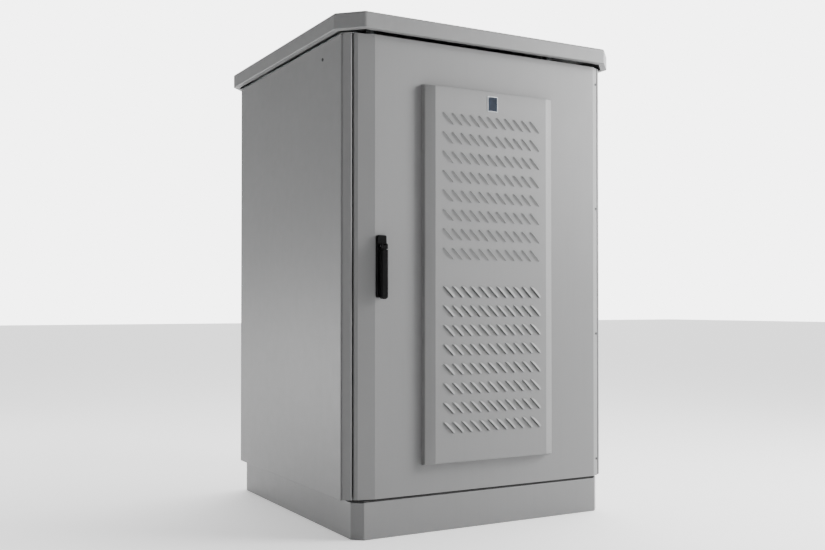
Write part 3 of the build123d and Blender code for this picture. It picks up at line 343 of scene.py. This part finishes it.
def enamel_badge(name, enamel, metal):
    """A plain enamelled plate with a raised bare rim."""
    low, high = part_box("badge")
    material, nodes, links, shader = new_material(name)
    axes = nodes.new("ShaderNodeSeparateXYZ")
    links.new(place_input(nodes), axes.inputs["Vector"])
    distances = []
    for axis, start, end in (("X", low.x, high.x), ("Z", low.z, high.z)):
        off_centre = math_node(nodes, links, "SUBTRACT", axes.outputs[axis], (start + end) / 2)
        distance = math_node(nodes, links, "ABSOLUTE", off_centre, 0.0)
        distances.append(math_node(nodes, links, "SUBTRACT", distance, (end - start) / 2 - BADGE_RIM))
    outside = math_node(nodes, links, "MAXIMUM", *distances)
    rim = mask(nodes, links, math_node(nodes, links, "MULTIPLY", outside, 1.0 / MM), 0.0, 0.5)
    clouds = noise(nodes, links, 90.0, 4.0)
    base = shaded(nodes, links, clouds, enamel, (0.3, 0.75), (0.7, 1.25))
    links.new(mix(nodes, links, rim, base, metal), shader.inputs["Base Color"])
    links.new(rim, shader.inputs["Metallic"])
    shader.inputs["Specular IOR Level"].default_value = 0.15
    set_roughness(nodes, links, shader, clouds, 0.28, 0.42)
    add_bump(nodes, links, shader, rim, 0.6, 0.4 * MM)
    return material


CABINET_GREY = (0.140, 0.141, 0.141)
HANDLE_BLACK = (0.0012, 0.0012, 0.0013)
BATTERY_GREY = (0.035, 0.038, 0.042)


def build_materials():
    """One material for each material slot of the record."""
    return {
        "grey_powder_coat": powder_coat("powder_coat_grey", CABINET_GREY),
        "panel_paint": powder_coat("paint_light", (0.55, 0.55, 0.53), 0.6),
        "galvanised_sheet": galvanised("galvanised_sheet"),
        "zinc_plated_steel": brushed_metal("zinc_plate", (0.62, 0.64, 0.66), (0.25, 0.42)),
        "dark_screw_steel": brushed_metal("black_steel", (0.06, 0.06, 0.065), (0.35, 0.5)),
        "black_handle_plastic": moulded_plastic("handle_nylon", HANDLE_BLACK, (0.3, 0.42), shine=0.1),
        "black_fan_plastic": moulded_plastic("fan_plastic", (0.02, 0.02, 0.022), (0.45, 0.6)),
        "gland_plastic": moulded_plastic("gland_nylon", (0.28, 0.29, 0.29)),
        "battery_case_plastic": moulded_plastic("battery_case", BATTERY_GREY, (0.42, 0.55), 500.0, 0.35),
        "breaker_plastic": moulded_plastic("breaker_body", (0.62, 0.62, 0.60), (0.3, 0.4)),
        "toggle_plastic": moulded_plastic("breaker_toggle", (0.03, 0.03, 0.035), (0.25, 0.38)),
        "seal_rubber": foam("seal_rubber", (0.018, 0.018, 0.018), 900.0, 0.3),
        "insulation_foam": foam("insulation_foam", (0.05, 0.05, 0.053), 260.0, 0.6),
        "filter_fleece": fleece("filter_fleece", (0.62, 0.62, 0.58)),
        "terminal_metal": brushed_metal("terminal_tin", (0.5, 0.5, 0.48), (0.35, 0.5)),
        "link_brass": brushed_metal("link_bar", (0.72, 0.50, 0.26), (0.25, 0.4), stretch=(30.0, 1.0, 1.0)),
        "badge_aluminium": enamel_badge("badge_plate", (0.004, 0.010, 0.022), (0.26, 0.27, 0.28)),
    }


def dress_cad_nodes(materials):
    for entry in frame["record"]["subparts"]:
        node = frame["nodes"][entry["node"]]
        node.data.materials.clear()
        node.data.materials.append(materials[entry["material_slot"]])


# ---- Louvred vent cover ---------------------------------------------------------------------------------
SHEET = 1.6 * MM
LOUVRE_COLUMNS = 11
LOUVRE_ROWS = 8
LOUVRE_PITCH_X = 28.6 * MM
LOUVRE_PITCH_Z = 52.1 * MM
SLIT_HALF = 15.6 * MM
HOOD_WIDTH = 12.5 * MM
UPPER_HOOD_WIDTH = 9.5 * MM
HOOD_HEIGHT = 4.8 * MM
SLIT_GAP = 1.6 * MM
BEND_RADIUS = 3.0 * MM
UPPER_FIRST_ROW = 89.5 * MM
BLOCK_GAP = 468.0 * MM
COVER_CHAMFER_X = 27.0 * MM
COVER_CHAMFER_Y = 10.0 * MM
COVER_END_RISE = 5.0 * MM
FIELD_MARGIN = 6.0 * MM
# Steps of the rounded fold at each end: how far in along the cover, and how far behind its face.
# None stands for the door, where the sloping end wall stops.
FOLD_STEPS = ((0.0, None), (0.0, 1.6 * MM), (0.45 * MM, 0.45 * MM), (1.6 * MM, 0.0))
# How sharply every hood falls off towards its slit's ends, and an upper hood away from its slit.
HOOD_END_POWER = 4
UPPER_HOOD_POWER = 2.2
# Steps of the grid: along half a slit, and across a hood as shares of its width.
SLIT_STEPS = 8
ACROSS_SHARES = (0.14, 0.3, 0.46, 0.62, 0.8, 1.0)
# A slit is open over this share of its length; its very ends are closed points.
OPEN_SHARE = 0.999
HARD_EDGE = math.radians(38)


def hood_rise(across, along, side):
    """Height of a pressed hood at a point, in slit coordinates: across from the slit and along it."""
    reach = 1.0 - (along / SLIT_HALF) ** HOOD_END_POWER
    if reach <= 0.0 or across * side < 0.0:
        return 0.0
    width = (UPPER_HOOD_WIDTH if side < 0 else HOOD_WIDTH) * math.sqrt(reach)
    share = abs(across) / width
    if share >= 1.0:
        return 0.0
    if side < 0:
        return HOOD_HEIGHT * math.sqrt(reach) * (1.0 - share) ** UPPER_HOOD_POWER
    return HOOD_HEIGHT * math.sqrt(reach) * 0.5 * (1.0 + math.cos(math.pi * share))


def slit_levels():
    """Heights along one louvre row, from its lower to its upper boundary, closest near the slit's ends."""
    steps = range(-SLIT_STEPS, SLIT_STEPS + 1)
    inside = [SLIT_HALF * math.sin(math.pi / 2 * step / SLIT_STEPS) for step in steps]
    half_pitch = LOUVRE_PITCH_Z / 2
    return [-half_pitch, -0.5 * (half_pitch + SLIT_HALF)] + inside + [0.5 * (half_pitch + SLIT_HALF)]


def across_levels():
    """Distances from a slit, on one side, closest where the hood curves most."""
    return [HOOD_WIDTH * share for share in ACROSS_SHARES]


def shear(along):
    """How far a 45 degree slit has moved sideways at a height within its row."""
    half_pitch = LOUVRE_PITCH_Z / 2
    if abs(along) <= SLIT_HALF:
        return -along
    return -math.copysign(SLIT_HALF * (half_pitch - abs(along)) / (half_pitch - SLIT_HALF), along)


def row_plan(bottom, top, first_rows):
    """Every height of the sheet's grid as (z, along, side, fold); side is 0 where there is no louvre."""
    levels = [(bottom, None, 0, fold) for fold in FOLD_STEPS]
    for first, side in sorted(first_rows):
        for row in reversed(range(LOUVRE_ROWS)):
            middle = first - row * LOUVRE_PITCH_Z
            levels += [(middle + along, along, side, None) for along in slit_levels()]
        levels.append((first + LOUVRE_PITCH_Z / 2, None, 0, None))
    levels += [(top, None, 0, fold) for fold in reversed(FOLD_STEPS)]
    return levels


def column_plan(left_profile, centre_x):
    """Every column of the grid: ("edge", x, y), or ("field", slit x, across, half) among the louvres."""
    columns = [("edge", x, y) for x, y in left_profile]
    first = centre_x - LOUVRE_PITCH_X * (LOUVRE_COLUMNS - 1) / 2
    columns.append(("field", first, -LOUVRE_PITCH_X / 2, 0))
    for index in range(LOUVRE_COLUMNS):
        slit_x = first + index * LOUVRE_PITCH_X
        columns += [("field", slit_x, -a, 0) for a in reversed(across_levels())]
        columns += [("field", slit_x, 0.0, -1), ("field", slit_x, 0.0, 1)]
        columns += [("field", slit_x, a, 0) for a in across_levels()]
        columns.append(("field", slit_x, LOUVRE_PITCH_X / 2, 0))
    columns += [("edge", 2 * centre_x - x, y) for x, y in reversed(left_profile)]
    return columns


def rounded_profile(corners, radius, steps=5):
    """A plan line through corners, with each inner corner turned into an arc."""
    points = [corners[0]]
    for before, corner, after in zip(corners, corners[1:], corners[2:]):
        middle = Vector(corner)
        into = (Vector(before) - middle).normalized()
        out = (Vector(after) - middle).normalized()
        half_angle = into.angle(out) / 2
        reach = radius / math.tan(half_angle)
        start = middle + into * reach
        end = middle + out * reach
        centre = middle + (into + out).normalized() * (radius / math.sin(half_angle))
        turn = (start - centre).angle_signed(end - centre)
        for step in range(steps + 1):
            spoke = start - centre
            spoke.rotate(Matrix.Rotation(-turn * step / steps, 2))
            points.append(tuple(centre + spoke))
    points.append(corners[-1])
    return points


def field_place(column, along, side, open_here, face):
    """Where a point of the louvred field lies, as x and y."""
    slit_x, across, half = column
    if not side:
        return slit_x + across, face
    if open_here and half and half != side:
        return slit_x + half * SLIT_GAP + shear(along), face
    return slit_x + across + shear(along), face - hood_rise(across, along, side)


def build_vent_cover():
    """The cover as one formed sheet with 176 pressed louvres and two sloping end walls."""
    low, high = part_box("vent_cover")
    centre_x = (low.x + high.x) / 2
    centre_z = (low.z + high.z) / 2
    face = low.y
    back = high.y
    flat_x = low.x + COVER_CHAMFER_X
    corners = [(low.x, back), (low.x, face + COVER_CHAMFER_Y), (flat_x, face), (centre_x, face)]
    profile = rounded_profile(corners, BEND_RADIUS)[:-1]
    profile.append((flat_x + FIELD_MARGIN, face))
    columns = column_plan(profile, centre_x)
    upper = high.z - UPPER_FIRST_ROW
    rows = row_plan(low.z, high.z, [(upper, -1), (upper - BLOCK_GAP, 1)])
    vertices = []
    index = {}
    faces = []

    def folded(x, y, z, fold):
        """Moves a point of the first or last row onto the rounded fold or the sloping end wall."""
        inwards, behind = fold
        y = back if behind is None else min(y + behind, back)
        rise = COVER_END_RISE * (back - y) / (back - face) + inwards
        return (x, y, z + rise if z < centre_z else z - rise)

    def vertex(column, row):
        """The number of a grid point, made on first use. The two sides of a closed slit share theirs."""
        z, along, side, fold = rows[row]
        open_here = side and abs(along) < SLIT_HALF * OPEN_SHARE
        if columns[column][0] == "field" and columns[column][3] == 1 and not open_here:
            column -= 1
        key = (column, row)
        if key not in index:
            kind, *values = columns[column]
            x, y = values if kind == "edge" else field_place(values, along, side, open_here, face)
            index[key] = len(vertices)
            vertices.append(folded(x, y, z, fold) if fold else (x, y, z))
        return index[key]

    for column in range(len(columns) - 1):
        # No sheet lies between the two sides of a slit.
        if columns[column][0] == "field" and columns[column][3] == -1:
            continue
        for row in range(len(rows) - 1):
            corners = ((column, row), (column + 1, row), (column + 1, row + 1), (column, row + 1))
            faces.append(tuple(vertex(*corner) for corner in corners))
    return mesh_object("vent_cover_louvred", vertices, faces)


def mesh_object(name, vertices, faces):
    mesh = bpy.data.meshes.new(name)
    mesh.from_pydata(vertices, [], faces)
    mesh.validate()
    mesh.update()
    piece = bpy.data.objects.new(name, mesh)
    bpy.context.scene.collection.objects.link(piece)
    return piece


def finish_vent_cover(materials):
    cover = build_vent_cover()
    solidify = cover.modifiers.new("sheet", "SOLIDIFY")
    solidify.thickness = SHEET
    solidify.offset = -1.0
    split = cover.modifiers.new("hard_edges", "EDGE_SPLIT")
    split.split_angle = HARD_EDGE
    split.use_edge_sharp = False
    cover.data.polygons.foreach_set("use_smooth", [True] * len(cover.data.polygons))
    cover.data.materials.append(materials["grey_powder_coat"])
    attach(cover, "door")
    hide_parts("vent_cover")


def main():
    materials = build_materials()
    dress_cad_nodes(materials)
    finish_vent_cover(materials)
    add_floor()
    add_studio()
    add_camera()


main()
